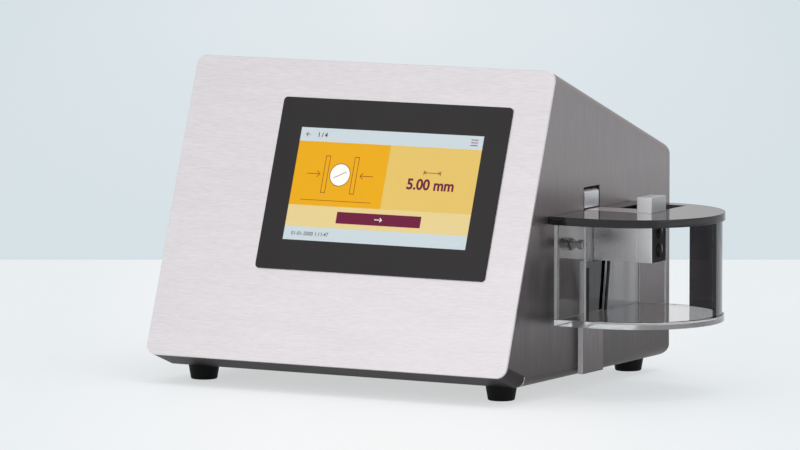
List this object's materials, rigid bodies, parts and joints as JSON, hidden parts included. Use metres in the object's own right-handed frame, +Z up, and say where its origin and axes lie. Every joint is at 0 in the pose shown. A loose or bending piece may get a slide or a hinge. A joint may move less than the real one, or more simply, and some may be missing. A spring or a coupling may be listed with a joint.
{
  "type": "tablet hardness tester",
  "caption": "Bench instrument with a sloping touch screen and a side station where a driven jaw crushes a tablet against a fixed anvil under a tinted lid.",
  "frame": {"origin": "middle of the whole instrument's footprint, on the bench", "axes": "+X towards the test station at the side, +Y from the front panel to the rear, +Z up"},
  "size_m": [0.4084, 0.262, 0.2393],
  "materials": {
    "panel_steel": "horizontal satin brushing",
    "shell_steel": "vertical satin brushing",
    "jaw_steel": "fine ground faces",
    "dark_paint": "dark grey satin powder coat",
    "rubber": "black matt rubber",
    "screw_steel": "bright stainless steel",
    "display_black": "near black border printed behind the glass",
    "screen": "lit colour screen",
    "aluminium": "milled",
    "bronze": "turned",
    "motor_black": "black lacquer",
    "plastic_black": "moulded, fine grain",
    "clear_acrylic": "polished clear acrylic",
    "smoke_acrylic": "polished smoke tinted acrylic",
    "board_green": "green lacquer",
    "supply_case": "perforated metal case"
  },
  "bodies": {
    "housing": {"front_panel": "panel_steel", "front_frame": "dark_paint", "chin_cover": "dark_paint", "body_shell": "shell_steel", "base_plate": "dark_paint", "rear_panel": "shell_steel", "foot_front_left": "rubber", "foot_front_right": "rubber", "foot_rear_left": "rubber", "foot_rear_right": "rubber", "foot_screws": "screw_steel", "rear_screws": "screw_steel", "display_glass": "display_black", "screen_module": "screen", "screen_clamps": "dark_paint", "drive_base": "aluminium", "drive_pillars": "aluminium", "motor_bracket": "shell_steel", "stepper_motor": "motor_black", "rear_bearing_block": "aluminium", "front_bearing_block": "aluminium", "rear_bearing": "screw_steel", "front_bearing": "screw_steel", "guide_rod_left": "screw_steel", "guide_rod_right": "screw_steel", "home_switch": "plastic_black", "anvil_beam": "jaw_steel", "anvil": "jaw_steel", "anvil_screws": "screw_steel", "beam_screws": "screw_steel", "support_bar": "shell_steel", "bar_screws": "screw_steel", "tray_bottom": "clear_acrylic", "tray_back": "clear_acrylic", "tray_side_front": "clear_acrylic", "tray_side_rear": "clear_acrylic", "edge_strip": "rubber", "tray_spacers": "screw_steel", "sensor_lead": "rubber", "main_board": "board_green", "board_standoffs": "screw_steel", "power_supply": "supply_case", "power_inlet": "plastic_black", "data_port": "screw_steel"},
    "jaw": {"carriage": "aluminium", "drive_nut": "bronze", "slide_bushes": "bronze", "load_cell": "aluminium", "moving_jaw": "jaw_steel"},
    "screw": {"motor_shaft": "screw_steel", "shaft_coupling": "aluminium", "lead_screw": "screw_steel"},
    "lid": {"lid": "smoke_acrylic"},
    "shield": {"curved_shield": "smoke_acrylic"},
    "front_tray_screw": {"tray_screw_front": "screw_steel"},
    "rear_tray_screw": {"tray_screw_rear": "screw_steel"},
    "rocker": {"power_rocker": "plastic_black"}
  },
  "joints": [
    {"name": "jaw_slide", "type": "slide", "parent": "housing", "child": "jaw", "axis": [1, 0, 0], "range_m": [0, 0.043]},
    {"name": "screw_turn", "type": "hinge", "parent": "housing", "child": "screw", "pos_m": [0.0081, 0.0025, 0.165], "axis": [1, 0, 0], "range_deg": [0, 3880]},
    {"name": "lid_lift", "type": "slide", "parent": "housing", "child": "lid", "axis": [0, 0, 1], "range_m": [0, 0.06]},
    {"name": "shield_swing", "type": "hinge", "parent": "housing", "child": "shield", "pos_m": [0.1386, 0.0005, 0.09], "axis": [0, 0, 1], "range_deg": [-82, 0]},
    {"name": "front_tray_screw_turn", "type": "hinge", "parent": "housing", "child": "front_tray_screw", "pos_m": [0.1079, -0.04, 0.1117], "axis": [1, 0, 0], "continuous": true},
    {"name": "rear_tray_screw_turn", "type": "hinge", "parent": "housing", "child": "rear_tray_screw", "pos_m": [0.1079, 0.041, 0.1117], "axis": [1, 0, 0], "continuous": true},
    {"name": "rocker_tilt", "type": "hinge", "parent": "housing", "child": "rocker", "pos_m": [-0.1099, 0.1195, 0.0584], "axis": [1, 0, 0], "range_deg": [0, 14]}
  ],
  "couplings": [
    {"joint": "screw_turn", "follows": "jaw_slide", "rad_per_m": 1570.8}
  ]
}
